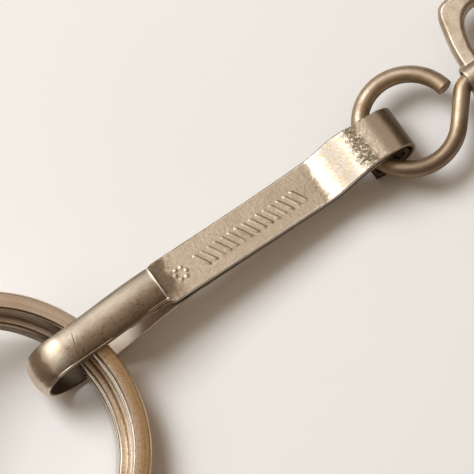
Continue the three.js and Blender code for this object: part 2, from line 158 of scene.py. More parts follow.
GATE_PITS = (-6.0, -1.6)
GATE_SHADE_BESIDE_DOME = (-4.0, -2.1)
GATE_RAMP = (16.0, 20.4)
GATE_CREST = (20.9, 21.7)
GATE_GOLDEN_EDGE = (22.5, 27.0)
GATE_LOOP_TOP = (22.9, 24.2)
GATE_FOLD_SHADE_FADE = (24.3, 25.1)
GATE_POLISHED_EDGE_FADE = (26.0, 24.0)
GATE_UNDER_LOOP_SHADE_FADE = (29.5, 31.0)
HOOK_RIM_HIGHLIGHT_FADE = (0.28, 0.16)
HOOK_SHADE_INSIDE_BEND = (4.0, 23.5)
HOOK_DOME_FADE = (11.0, 8.6)
HOOK_FLANK_SHADE_FADE = (13.0, 10.0)
HOOK_MOTTLES_FADE = (12.5, 11.0)
HOOK_SCRATCH = (10.05, 10.11)
HOOK_BEND = (11.0, 12.6)
HOOK_DARK_REFLECTION = (13.6, 14.6)
HOOK_LOWER_BEND = (15.5, 20.0)
HOOK_LEAF_FADE = (24.5, 25.5)
HOOK_SHADE_UNDER_GATE_FADE = (34.0, 36.0)
HOOK_CUT_END_SHADE_FADE = (59.0, 61.0)

# ---- where it lies across: from the middle of the strip or wire, in millimetres -------------

GATE_SHADE_BESIDE_DOME_SIDE = (-2.2, -0.9)
GATE_EDGE_FADE = (2.12, 2.28)
HOOK_FLANK_SIDE = (0.9, -0.6)
HOOK_SCRATCH_SIDE = (-0.35, 0.8)
HOOK_SCRATCH_SLANT = 0.35
RING_GOLD_FADE = (-0.7, 0.1)
RING_INNER_FADE = (-0.84, -0.95)
RING_CREVICE_SHADE_FADE = (0.86, 0.99)
RING_CREVICE_SHADE_SIDE = (-0.55, -0.75)
RING_LOWER_EDGE_SHADE_FADE = (-0.75, -0.9)
RING_LOWER_EDGE_SHADE_SIDE = (-0.5, -0.8)

# ---- where it lies in the object's own y, in metres -----------------------------------------

RING_WORN_Y_FADE = (6.0 * MM, 1.0 * MM)
RING_SHADED_WALL_Y_FADE = (2.0 * MM, 7.0 * MM)
WIRE_SHADE_Y_FADE = (1.2 * MM, -1.2 * MM)

# ---- relief, in millimetres -----------------------------------------------------------------

GRAIN = 0.006
GATE_GRAIN = 0.016
CAST_GRAIN = 0.012
PEBBLES = 0.035
PIT_DEPTH = 0.010
CRUST_DEPTH = 0.02
FINE_SCRATCHES = 0.0015
STREAK_DEPTH = 0.002
DRAWN_LINE_DEPTH = 0.003
SCRATCH_DEPTH = 0.012

# ---- colours of the metal, and of its painted light and shade -------------------------------

NICKEL = (0.555, 0.465, 0.365)
NICKEL_DULL = (0.43, 0.34, 0.245)
GATE_NICKEL = (0.50, 0.41, 0.315)
GREY_NICKEL = (0.56, 0.485, 0.40)
GREY_DULL = (0.345, 0.285, 0.22)
WIRE_NICKEL = (0.52, 0.42, 0.32)
WIRE_DULL = (0.36, 0.265, 0.175)
CAST_NICKEL = (0.57, 0.475, 0.375)
CAST_DULL = (0.37, 0.285, 0.205)
PALE_PLATE = (0.98, 0.86, 0.73)
PLATE_SHADE = (0.86, 0.70, 0.55)
# Polished metal, and also the colour of the painted highlight on the dome's rim.
POLISH_AND_HIGHLIGHT = (0.88, 0.82, 0.73)
PALE_GOLD = (0.80, 0.62, 0.36)
RING_GOLD = (0.70, 0.46, 0.23)
GOLDEN = (0.60, 0.40, 0.20)
BROWN = (0.20, 0.135, 0.08)
DARK_BROWN = (0.075, 0.05, 0.03)
PIT_DARK = (0.10, 0.075, 0.05)

# ---- table, light and camera, in metres and watts -------------------------------------------

TABLE_HALF_SIZE = 4.0
TABLE_SHADE, TABLE_LIGHT = (0.845, 0.82, 0.79), (0.875, 0.855, 0.83)
TABLE_ROUGHNESS = 0.7
LIGHT_DISTANCE = 0.60
ROOM_COLOR, ROOM_STRENGTH = (1.0, 0.74, 0.50, 1), 0.15
CAMERA_DISTANCE = 0.6
CAMERA_FIELD = 46.17 * MM
CAMERA_RIGHT = Vector((0.8220, -0.5650, -0.0698))
CAMERA_BACK = Vector((-0.0984, -0.2617, 0.9601))
CAMERA_TARGET = Vector((-5.90, 3.17, 4.55)) * MM
SENSOR_WIDTH = 36
CLIP_START, CLIP_END = 0.01, 20


# ---- frames ---------------------------------------------------------------------------------

def hook_to_row(points):
    """Hook-frame millimetres to row-frame metres."""
    p = np.asarray(points, float)
    c, s = math.cos(HOOK_PITCH), math.sin(HOOK_PITCH)
    x = p[..., 0] * c + p[..., 2] * s
    z = -p[..., 0] * s + p[..., 2] * c + HOOK_LIFT
    return (np.stack([x, p[..., 1], z], -1) - FOOTPRINT_CENTRE) * MM


EYE_CENTRE = hook_to_row([EYE_HOOK_X, 0, 0]) + np.array([EYE_RADIUS * MM, 0, 0])


def smooth(t):
    """0 up to t = 0, 1 from t = 1, and a smooth step between."""
    t = np.clip(t, 0, 1)
    return t * t * (3 - 2 * t)


# ---- meshes ---------------------------------------------------------------------------------

def make_piece(name, vertices, faces, body, stands_for):
    """A smooth-shaded closed mesh that replaces a CAD node."""
    mesh = bpy.data.meshes.new(name)
    mesh.from_pydata([tuple(v) for v in vertices], [], [tuple(f) for f in faces])
    mesh.validate()
    return finish_piece(name, mesh, body, stands_for)


def finish_piece(name, mesh, body, stands_for):
    """The object of a finished mesh, which stands for a CAD node and rides on a body."""
    bm = bmesh.new()
    bm.from_mesh(mesh)
    bmesh.ops.recalc_face_normals(bm, faces=bm.faces)
    bm.to_mesh(mesh)
    bm.free()
    mesh.polygons.foreach_set("use_smooth", np.ones(len(mesh.polygons), bool))
    piece = bpy.data.objects.new(name, mesh)
    bpy.context.scene.collection.objects.link(piece)
    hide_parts(stands_for)
    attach(piece, body)
    return piece


def loft(loops, closed=False):
    """Vertices and faces of a skin over equal loops of points, capped at both ends unless closed."""
    loops = np.asarray(loops)
    rows, columns = loops.shape[:2]
    faces = []
    for i in range(rows if closed else rows - 1):
        a, b = i * columns, ((i + 1) % rows) * columns
        for j in range(columns):
            k = (j + 1) % columns
            faces.append((a + j, a + k, b + k, b + j))
    if not closed:
        faces.append(tuple(range(columns)))
        faces.append(tuple(range((rows - 1) * columns, rows * columns)))
    return loops.reshape(-1, 3), faces


def add_attributes(piece, marks):
    """Gives a piece's points the values that its material reads."""
    for name, values in marks.items():
        attribute = piece.data.attributes.new(name, "FLOAT", "POINT")
        attribute.data.foreach_set("value", np.asarray(values, np.float32))


def catmull_rom(points, steps, power=0.0):
    """Points along a Catmull-Rom spline: power 0 is uniform and 0.5 centripetal."""
    p = [np.asarray(q, float) for q in points]
    p = [2 * p[0] - p[1], *p, 2 * p[-1] - p[-2]]
    out = []
    for i in range(1, len(p) - 2):
        gaps = [max(np.linalg.norm(p[i + k] - p[i + k - 1]) ** power, 1e-6) for k in range(3)]
        into = (p[i] - p[i - 1]) / gaps[0] - (p[i + 1] - p[i - 1]) / (gaps[0] + gaps[1])
        into = (into + (p[i + 1] - p[i]) / gaps[1]) * gaps[1]
        away = (p[i + 1] - p[i]) / gaps[1] - (p[i + 2] - p[i]) / (gaps[1] + gaps[2])
        away = (away + (p[i + 2] - p[i + 1]) / gaps[2]) * gaps[1]
        for t in np.linspace(0, 1, steps, endpoint=False):
            h = (2 * t**3 - 3 * t**2 + 1, t**3 - 2 * t**2 + t, -2 * t**3 + 3 * t**2, t**3 - t**2)
            out.append(h[0] * p[i] + h[1] * into + h[2] * p[i + 1] + h[3] * away)
    out.append(p[-2])
    return np.array(out)


def distances_along(points):
    """How far along their line the points are."""
    return np.concatenate([[0], np.cumsum(np.linalg.norm(np.diff(points, axis=0), axis=1))])


def tangents_of(line):
    tangent = np.gradient(line, axis=0)
    return tangent / np.linalg.norm(tangent, axis=1)[:, None]


def resample(points, spacing):
    """The same line with points at an even spacing."""
    along = distances_along(points)
    wanted = np.linspace(0, along[-1], max(2, int(round(along[-1] / spacing)) + 1))
    return np.stack([np.interp(wanted, along, points[:, k]) for k in range(points.shape[1])], -1)


# ---- strips of sheet metal ------------------------------------------------------------------

def loop_line():
    """The gate's upper face from mid-strip, up the ramp, round the loop and back below."""
    x, z, r = LOOP_X, LOOP_Z, LOOP_RADIUS
    return catmull_rom([
        (LOOP_START_X, 0),
        (RAMP_FOOT_X - 0.4, 0.03),
        (RAMP_FOOT_X + 0.9, 0.48),
        (RAMP_FOOT_X + 3.2, 2.0),
        (x - 1.3, z + r * 0.99),
        (x + 0.2, z + r * 0.95),
        (x + r * 0.72, z + r * 0.66),
        (x + r, z - 0.1),
        (x + r * 0.72, z - r * 0.74),
        (x, z - r),
        (x - 1.7, z - r * 0.94),
    ], steps=24)


def bezier(a, b, c, d):
    """Points along a cubic curve from a to d, with the handles b and c."""
    t = np.linspace(0, 1, CURVE_STEPS)[:, None]
    a, b, c, d = (np.array(q, float) for q in (a, b, c, d))
    return (1 - t) ** 3 * a + 3 * (1 - t) ** 2 * t * b + 3 * (1 - t) * t**2 * c + t**3 * d


def hook_line():
    """The hook's outer face from the dome's end, round the bend and along the lower leaf."""
    x, z, r = BEND_X, BEND_Z, BEND_RADIUS
    dome = bezier((DOME_END_X, DOME_EDGE_Z), (DOME_END_X - DOME_HANDLE, DOME_EDGE_Z + DOME_HANDLE_RISE),
                  (x + DOME_HANDLE, z + r), (x, z + r))
    angle = np.linspace(math.pi / 2, 1.5 * math.pi, CURVE_STEPS)
    bend = np.stack([x + r * np.cos(angle), z + r * np.sin(angle)], -1)
    leaf = bezier((x, z - r), (x + LEAF_HANDLE, z - r), LEAF_END_HANDLE,
                  (0, -LAYER_DEPTH - GATE_TRAVEL_GAP))
    return np.concatenate([dome, bend[1:], leaf[1:]])


def normals_of(line):
    """Right-hand unit normals along a line in the x-z plane."""
    tangent = tangents_of(line)
    return np.stack([tangent[:, 1], -tangent[:, 0]], -1)


def strip_section(columns):
    """Outline of a strip's section: u across from -1 to 1, side 0 on the faced side and 1 on the
    other, and how far the corner rounding pulls the point in, across and through the thickness."""
    corner = np.linspace(0, math.pi / 2, EDGE_STEPS)
    u = np.linspace(-1, 1, columns)
    rows = [(v, 0, 0, 0) for v in u[1:-1]]
    rows += [(1, 0, 1 - math.sin(a), 1 - math.cos(a)) for a in corner]
    rows += [(1, 1, 1 - math.cos(a), 1 - math.sin(a)) for a in corner]
    rows += [(v, 1, 0, 0) for v in u[::-1][1:-1]]
    rows += [(-1, 1, 1 - math.sin(a), 1 - math.cos(a)) for a in corner]
    rows += [(-1, 0, 1 - math.cos(a), 1 - math.sin(a)) for a in corner]
    return np.array(rows)


def strip_mesh(line, normals, half_width, crown, lean, hollow, thickness, columns, relief=None):
    """Vertices, faces and point attributes of a strip. crown, lean and hollow say how far each row
    bulges, lies off the middle and is cut back in the middle. relief gives the depth of the
    stamping on the side away from the faced one, for a place along and across."""
    section = strip_section(columns)
    r = EDGE_ROUNDING
    u, side, pull_in, pull_through = section.T
    travelled = distances_along(line)
    last = len(line) - 1
    order = [(0, END_SHRINK), (0, NEXT_SHRINK), *((i, 0.0) for i in range(1, last)),
             (last, NEXT_SHRINK), (last, END_SHRINK)]
    inward = np.where(side == 0, 1, -1)
    loops, along_all, across_all = [], [], []
    for i, shrink in order:
        across = u * (half_width[i] - r * shrink) - np.sign(u) * pull_in * r * (np.abs(u) == 1)
        v = across / half_width[i]
        arc = np.sqrt(np.maximum(1 - CROWN_ARC * v * v, 0))
        rise = crown[i] * (arc - math.sqrt(1 - CROWN_ARC))
        rounding = pull_through + END_THINNING * shrink * (pull_through == 0)
        depth = side * thickness + inward * r * rounding
        if relief is not None:
            depth = depth + relief(line[i][0], across) * (side == 1)
        height = rise - depth
        x = line[i][0] + normals[i][0] * height - hollow[i] * (1 - v * v)
        z = line[i][1] + normals[i][1] * height
        loops.append(hook_to_row(np.stack([x, across + lean[i], z], -1)))
        along_all.append(np.full(len(u), travelled[i]))
        across_all.append(across)
    vertices, faces = loft(loops)
    marks = {"along": np.concatenate(along_all), "across": np.concatenate(across_all),
             "side": np.tile(side, len(order))}
    return vertices, faces, marks


def stamped_depth(x, y):
    """Depth of a plain rope border of slanted strokes, with a small ring of dots at its start."""
    distance = np.full_like(y, np.inf)
    for k in range(STROKE_COUNT):
        middle = STROKE_START_X + STROKE_SPACING * k
        off = x - middle - STROKE_SLANT * (y - STROKE_Y)
        past_end = np.maximum(np.abs(y - STROKE_Y) - STROKE_HALF_LENGTH, 0)
        distance = np.minimum(distance, np.hypot(off, past_end) - STROKE_HALF_BREADTH)
    for k in range(DOT_COUNT):
        angle = 2 * math.pi * k / DOT_COUNT
        dot_x = DOT_RING_X + DOT_RING_RADIUS * math.cos(angle)
        dot_y = STROKE_Y + DOT_RING_RADIUS * math.sin(angle)
        distance = np.minimum(distance, np.hypot(x - dot_x, y - dot_y) - DOT_RADIUS)
    # Wear has left more of some marks than of others.
    left = STAMP_LEFT + STAMP_WAVE * np.sin(1.7 * x + 2.3 * y) * np.sin(0.9 * x - 1.1)
    return STAMP_DEPTH * left * smooth(0.5 - distance / STAMP_SOFTNESS)


def build_gate():
    """The gate: its tongue, its stamped flat, its ramp and the outer layer of the loop."""
    flat = resample(np.array([(GATE_TIP_X, 0.0), (LOOP_START_X, 0.0)]), STAMPED_SPACING)
    loop = resample(loop_line(), LOOP_SPACING)
    line = np.concatenate([flat[:-1], loop])
    normals = normals_of(line)
    x = line[:, 0]
    taper = smooth((x - GATE_SHOULDER_X) / GATE_SHOULDER_LENGTH)
    past = x - SPREAD_PEAK_X
    falling = np.maximum(0, 1 - (past / SPREAD_FALL) ** 2)
    spread = RAMP_SPREAD * np.where(past < 0, np.exp(np.minimum(past, 0) / SPREAD_RISE), falling)
    short = np.maximum(0, 1 - (x - GATE_TIP_X) / GATE_TIP_ROUNDING)
    tongue = GATE_TONGUE_HALF_WIDTH - GATE_TIP_ROUNDING * (1 - np.sqrt(1 - short**2))
    half_width = tongue + (STRIP_WIDTH / 2 + spread - tongue) * taper
    nothing = np.zeros(len(line))
    # The normals point below the strip, so the faced side is the lower one.
    lower = line + normals * GATE_THICKNESS
    vertices, faces, marks = strip_mesh(lower, normals, half_width, nothing, spread, nothing,
                                        GATE_THICKNESS, GATE_COLUMNS, stamped_depth)
    piece = make_piece("gate_strip", vertices, faces, "gate", "hook_gate")
    marks["along"] = marks["along"] + GATE_TIP_X  # so that it is x over the gate's flat part
    add_attributes(piece, marks)
    return piece


def build_hook_body():
    """The hook's own strip: the dome, the bend, the lower leaf and the inner layer of the loop."""
    hook = resample(hook_line(), HOOK_SPACING)
    leaf_end = (0.0, -LAYER_DEPTH - GATE_TRAVEL_GAP)
    straight = resample(np.array([leaf_end, (LOOP_START_X, -LAYER_DEPTH)]), STRAIGHT_SPACING)
    gate_loop = resample(loop_line(), LOOP_SPACING)
    loop = gate_loop + normals_of(gate_loop) * LAYER_DEPTH
    line = np.concatenate([hook[:-1], straight[:-1], loop])
    normals = normals_of(line)
    in_hook = np.arange(len(line)) < len(hook)
    x, nz = line[:, 0], normals[:, 1]
    turned = np.arccos(np.clip(nz, -1, 1)) / math.pi
    into_bend = smooth((DOME_END_X - x) / (DOME_END_X - BEND_X))
    onto_leaf = np.where(nz < 0, smooth((x - LEAF_WIDENING_X) / LEAF_WIDENING_LENGTH), 0)
    over = DOME_TIP_HALF_WIDTH + (BEND_HALF_WIDTH - DOME_TIP_HALF_WIDTH) * into_bend
    over = over + DOME_BELLY * np.sin(math.pi * into_bend)
    under = BEND_HALF_WIDTH + (STRIP_WIDTH / 2 - BEND_HALF_WIDTH) * onto_leaf
    half_width = np.where(in_hook, np.where(nz < 0, under, over), STRIP_WIDTH / 2)
    lean = np.where(in_hook, BEND_LEAN * into_bend * (1 - onto_leaf), 0)
    crown = np.where(in_hook, DOME_CROWN * (1 - smooth((turned - 0.5) / 0.5)), 0)
    crown[:3] += DOME_LIP * np.array([1, 1, 0.5])  # only the rows at the dome's end
    hollow = np.zeros(len(line))
    hollow[:2] = DOME_TIP_HOLLOW * np.array([1, 0.5])
    vertices, faces, marks = strip_mesh(line, normals, half_width, crown, lean, hollow,
                                        BODY_THICKNESS, HOOK_COLUMNS)
    piece = make_piece("hook_strip", vertices, faces, "hook", "hook_body")
    add_attributes(piece, marks)
    return piece


# ---- split ring -----------------------------------------------------------------------------

def rounded_rectangle(width, height, radius, corner_steps):
    """Outline of the flat wire, as places outward and upward."""
    points = []
    for k, (sx, sy) in enumerate([(1, 1), (-1, 1), (-1, -1), (1, -1)]):
        for a in np.linspace(0, math.pi / 2, corner_steps) + k * math.pi / 2:
            points.append((sx * (width / 2 - radius) + radius * math.cos(a),
                           sy * (height / 2 - radius) + radius * math.sin(a)))
    return np.array(points)


def build_split_ring():
    """Two coils of flat wire, with a step between them."""
    section = rounded_rectangle(
        RING_WIRE_WIDTH, RING_WIRE_HEIGHT, RING_WIRE_ROUNDING, RING_CORNER_STEPS)
    tilt = Vector((0, 0, 1)).rotation_difference(RING_NORMAL).to_matrix()
    first = RING_STEP_HALF_ANGLE + RING_END_CLEARANCE
    loops, travelled = [], []
    for turn in np.linspace(first, 4 * math.pi - first, RING_ROWS):
        step = smooth((turn - 2 * math.pi + RING_STEP_HALF_ANGLE) / (2 * RING_STEP_HALF_ANGLE))
        radius = RING_OUTER_RADIUS - RING_WIRE_WIDTH / 2 - RING_LOWER_INSET * (1 - step)
        angle = turn + RING_STEP_DIRECTION
        height = -RING_WIRE_HEIGHT / 2 - RING_PITCH * (1 - step)
        r = radius + section[:, 0]
        local = np.stack([r * np.cos(angle), r * np.sin(angle), height + section[:, 1]], -1)
        loops.append(hook_to_row(local @ np.array(tilt).T + RING_CENTRE))
        travelled.append(np.full(len(section), radius * turn))
    vertices, faces = loft(loops)
    piece = make_piece("ring_wire", vertices, faces, "key_ring", "split_ring")
    add_attributes(piece, {"lane": np.tile(section[:, 0], len(loops)),
                           "level": np.tile(section[:, 1], len(loops)),
                           "along": np.concatenate(travelled)})
    return piece


# ---- wire pieces ----------------------------------------------------------------------------

def flat_tube(line, radii, sides):
    """A round tube along a line in a plane of constant z; radii has one value for each point."""
    tangent = tangents_of(line)
    out = np.stack([tangent[:, 1], -tangent[:, 0], np.zeros(len(line))], -1)
    angle = np.linspace(0, 2 * math.pi, sides, endpoint=False)
    ring = np.cos(angle)[:, None] * out[:, None, :] + np.sin(angle)[:, None] * UP
    return line[:, None, :] + ring * np.asarray(radii)[:, None, None]


def build_eye():
    """The wire: rounded cut end, round the eye, into the shank and its peened head."""
    degrees = np.arange(EYE_CUT_DEGREES, EYE_LEAVE_DEGREES, EYE_STEP_DEGREES)
    points = [(EYE_RADIUS * math.cos(a), EYE_RADIUS * math.sin(a), 0) for a in np.radians(degrees)]
    points += [(EYE_RADIUS + x, y, 0) for x, y in EYE_NECK]
    bent = resample(catmull_rom(points, steps=10, power=0.5), WIRE_SPACING)
    shank_end = (SHANK_END_X + SHANK_HEAD_THICKNESS / 2, 0, 0)
    shank = resample(np.array([bent[-1], shank_end]), SHANK_SPACING)
    line = np.concatenate([bent[:-1], shank])
    along = distances_along(line)
    head_start = SHANK_END_X - SHANK_HEAD_THICKNESS / 2
    in_head = smooth((line[:, 0] - head_start) / SHANK_HEAD_FLARE)
    radii = WIRE_RADIUS + (SHANK_HEAD_RADIUS - WIRE_RADIUS) * in_head
    for from_end in (along, along[-1] - along):
        t = np.clip(from_end / WIRE_END_ROUNDING, 0, 1)
        radii = radii - WIRE_END_ROUNDING * (1 - np.sqrt(1 - (1 - t) ** 2))
    vertices, faces = loft(flat_tube(line, radii, WIRE_SIDES) * MM + EYE_CENTRE)
    piece = make_piece("eye_wire", vertices, faces, "eye", "swivel_eye")
    around = np.linspace(0, 2 * math.pi, WIRE_SIDES, endpoint=False)
    add_attributes(piece, {"lift": np.tile(np.sin(around), len(line)),
                           "outward": np.tile(np.cos(around), len(line))})
    return piece


def build_rein_ring(side):
    """A plain round ring where its CAD node is."""
    node = f"rein_ring_{side}"
    low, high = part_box(node)
    centre = np.array((low + high) / 2)
    around = np.linspace(0, 2 * math.pi, REIN_WIRE_SIDES, endpoint=False)[:, None]
    loops = []
    for a in np.linspace(0, 2 * math.pi, REIN_RING_ROWS, endpoint=False):
        out = np.array([math.cos(a), math.sin(a), 0])
        wire = REIN_WIRE_RADIUS * (np.cos(around) * out + np.sin(around) * UP)
        loops.append(centre + (REIN_RING_RADIUS * out + wire) * MM)
    vertices, faces = loft(loops, closed=True)
    return make_piece(f"rein_wire_{side}", vertices, faces, node, node)


# ---- cast pieces ----------------------------------------------------------------------------

def cast_copy(node, name, voxel, rounds):
    """A copy of a CAD node with its corners softened, as casting and tumbling leave them."""
    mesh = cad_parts[node].data.copy()
    mesh.materials.clear()
    work = bpy.data.objects.new(name + "_work", mesh)
    bpy.context.scene.collection.objects.link(work)
    remesh = work.modifiers.new("remesh", "REMESH")
    remesh.mode = "VOXEL"
    remesh.voxel_size = voxel * MM
    soften = work.modifiers.new("soften", "SMOOTH")
    soften.factor = CASTING_SOFTNESS
    soften.iterations = rounds
    evaluated = work.evaluated_get(bpy.context.evaluated_depsgraph_get())
    result = bpy.data.meshes.new_from_object(evaluated)
    bpy.data.objects.remove(work)
    return finish_piece(name, result, "bit", node)


def build_bit(finish_of):
    """The bit's pieces. Each row of the list has a node, its piece's name, a slot, the voxel size
    in millimetres and the rounds of smoothing."""
    cast = [("slobber_bar", "bar_cast", "cast_nickel", 0.07, 9),
            ("mouthpiece", "mouth_bar", "mouth_steel", 0.09, 8)]
    for side in ("left", "right"):
        cast.append((f"cheek_{side}", f"cheek_cast_{side}", "cast_nickel", 0.08, 7))
        cast.append((f"concho_{side}", f"concho_cap_{side}", "nickel_concho", 0.06, 6))
        cast.append((f"cheek_rivet_{side}", f"rivet_{side}", "nickel_wire", 0.05, 5))
    for node, name, slot, voxel, rounds in cast:
        piece = cast_copy(node, name, voxel, rounds)
        piece.data.materials.append(finish_of[slot])


# ---- materials ------------------------------------------------------------------------------

class Nodes:
    """A short way to write a material's node tree."""

    def __init__(self, name):
        self.material = bpy.data.materials.new(name)
        self.material.use_nodes = True
        self.tree = self.material.node_tree
        self.shader = self.tree.nodes["Principled BSDF"]
        self.place = self.add("ShaderNodeTexCoord").outputs["Object"]
        self.color = None
        self.roughness = None
        self.normal = None

    def add(self, kind, **settings):
        node = self.tree.nodes.new(kind)
        for key, value in settings.items():
            setattr(node, key, value)
        return node

    def wire(self, value, socket):
        """Feeds a socket from another node's output, or sets it to a plain value."""
        if isinstance(value, bpy.types.NodeSocket):
            self.tree.links.new(value, socket)
        else:
            socket.default_value = value

    def noise(self, per_mm, detail=4.0, roughness=0.55, stretch=(1, 1, 1)):
        """Noise with so many features to a millimetre."""
        mapping = self.add("ShaderNodeMapping")
        mapping.inputs["Scale"].default_value = [1000 * per_mm * s for s in stretch]
        self.wire(self.place, mapping.inputs["Vector"])
        noise = self.add("ShaderNodeTexNoise")
        noise.inputs["Scale"].default_value = 1.0
        noise.inputs["Detail"].default_value = detail
        noise.inputs["Roughness"].default_value = roughness
        self.wire(mapping.outputs["Vector"], noise.inputs["Vector"])
        return noise.outputs["Fac"]

    def lines_along(self, across, along, per_mm, along_per_mm, level=0.0):
        """Noise drawn out into lines: fine across them and slow along them."""
        place = self.add("ShaderNodeCombineXYZ")
        self.wire(self.product(across, per_mm), place.inputs["X"])
        self.wire(self.product(level, per_mm), place.inputs["Y"])
        self.wire(self.product(along, along_per_mm), place.inputs["Z"])
        noise = self.add("ShaderNodeTexNoise")
        noise.inputs["Scale"].default_value = 1.0
        self.wire(place.outputs["Vector"], noise.inputs["Vector"])
        return noise.outputs["Fac"]

    def unevenness(self, reach, per_mm, detail, roughness=0.55):
        """Noise about 0 that ranges over about reach: added to a place, it frays the edge of a stain
        and of painted light and shade.
        """
        around_zero = self.math("SUBTRACT", self.noise(per_mm, detail, roughness), 0.5)
        return self.product(around_zero, reach)

    def attribute(self, name):
        return self.add("ShaderNodeAttribute", attribute_name=name).outputs["Fac"]

    def place_y(self):
        """The object's own y, in metres."""
        split = self.add("ShaderNodeSeparateXYZ")
        self.wire(self.place, split.inputs["Vector"])
        return split.outputs["Y"]

    def band(self, value, low, high, to_low=0.0, to_high=1.0):
        """value mapped from low..high to to_low..to_high, smoothly."""
        node = self.add("ShaderNodeMapRange", interpolation_type="SMOOTHSTEP")
        for key, v in zip(("Value", "From Min", "From Max", "To Min", "To Max"),
                          (value, low, high, to_low, to_high)):
            self.wire(v, node.inputs[key])
        return node.outputs["Result"]

    def between(self, value, low, high, soft):
        """1 from low to high, falling smoothly to 0 over the length soft outside them."""
        return self.product(self.band(value, low - soft, low), self.band(value, high + soft, high))

    def math(self, operation, a, b=0.0):
        node = self.add("ShaderNodeMath", operation=operation)
        self.wire(a, node.inputs[0])
        self.wire(b, node.inputs[1])
        return node.outputs[0]

    def product(self, *values):
        result = values[0]
        for value in values[1:]:
            result = self.math("MULTIPLY", result, value)
        return result

    def total(self, a, b):
        return self.math("ADD", a, b)

    def size_of(self, value):
        return self.math("ABSOLUTE", value)

    def mix(self, factor, a, b):
        """One colour turned into another as factor goes from 0 to 1."""
        node = self.add("ShaderNodeMix", data_type="RGBA")
        self.wire(factor, node.inputs[0])
        self.wire((*a, 1) if isinstance(a, tuple) else a, node.inputs[6])
        self.wire((*b, 1) if isinstance(b, tuple) else b, node.inputs[7])
        return node.outputs[2]

    def blend(self, factor, a, b):
        """One number turned into another as factor goes from 0 to 1."""
        node = self.add("ShaderNodeMix", data_type="FLOAT")
        for value, socket in ((factor, 0), (a, 2), (b, 3)):
            self.wire(value, node.inputs[socket])
        return node.outputs[0]

    def stain_and_shade(self, mask, color, amount):
        """Colours the metal where the mask is 1, for real stains and wear and for painted light and
        shade.
        """
        self.color = self.mix(self.product(mask, amount), self.color, color)

    def polish(self, mask, roughness, amount):
        """Changes the roughness where the mask is 1."""
        self.roughness = self.blend(self.product(mask, amount), self.roughness, roughness)

    def bump(self, height, distance_mm):
        """Adds a relief, so many millimetres high, to the material's normal."""
        node = self.add("ShaderNodeBump")
        node.inputs["Strength"].default_value = 1.0
        node.inputs["Distance"].default_value = distance_mm * MM
        self.wire(height, node.inputs["Height"])
        if self.normal is not None:
            self.wire(self.normal, node.inputs["Normal"])
        self.normal = node.outputs["Normal"]

    def dent(self, mask, depth_mm):
        self.bump(self.product(mask, -1.0), depth_mm)


def aged_metal(name, plate, tarnish, rough, pits=0.35, grain=GRAIN):
    """Worn plating: cloudy tarnish, warm mottling, fine grain, dark pits and small scratches."""
    n = Nodes(name)
    cloud = n.noise(0.35, detail=6, roughness=0.62)
    mottle = n.noise(1.7, detail=5, roughness=0.62)
    fine = n.noise(6.5, detail=4, roughness=0.6)
    n.pit = n.noise(3.2, detail=3, roughness=0.6)
    n.color = n.mix(n.band(cloud, 0.42, 0.68), plate, tarnish)
    n.stain_and_shade(n.band(mottle, 0.52, 0.68), GOLDEN, 0.22)
    n.stain_and_shade(n.band(mottle, 0.46, 0.34), tarnish, 0.5)
    n.stain_and_shade(n.band(fine, 0.50, 0.66), tarnish, 0.55)
    hollow = n.band(n.pit, 0.64, 0.72)
    n.stain_and_shade(hollow, BROWN, pits)
    specks = n.noise(11.0, detail=2, roughness=0.5)
    n.stain_and_shade(n.band(specks, 0.66, 0.74), PIT_DARK, pits)
    uneven = n.total(n.product(cloud, 0.5), n.product(fine, 0.5))
    n.roughness = n.band(uneven, 0.35, 0.65, *rough)
    n.bump(fine, grain)
    n.dent(hollow, PIT_DEPTH)
    scratches = n.noise(1.0, detail=2, roughness=0.5, stretch=(0.4, 14, 6))
    n.bump(n.band(scratches, 0.58, 0.68), FINE_SCRATCHES)
    n.shader.inputs["Metallic"].default_value = 1.0
    return n


def settle(n):
    """Joins the colour, roughness and relief to the shader, and gives the material."""
    n.wire(n.color, n.shader.inputs["Base Color"])
    n.wire(n.roughness, n.shader.inputs["Roughness"])
    n.wire(n.normal, n.shader.inputs["Normal"])
    return n.material


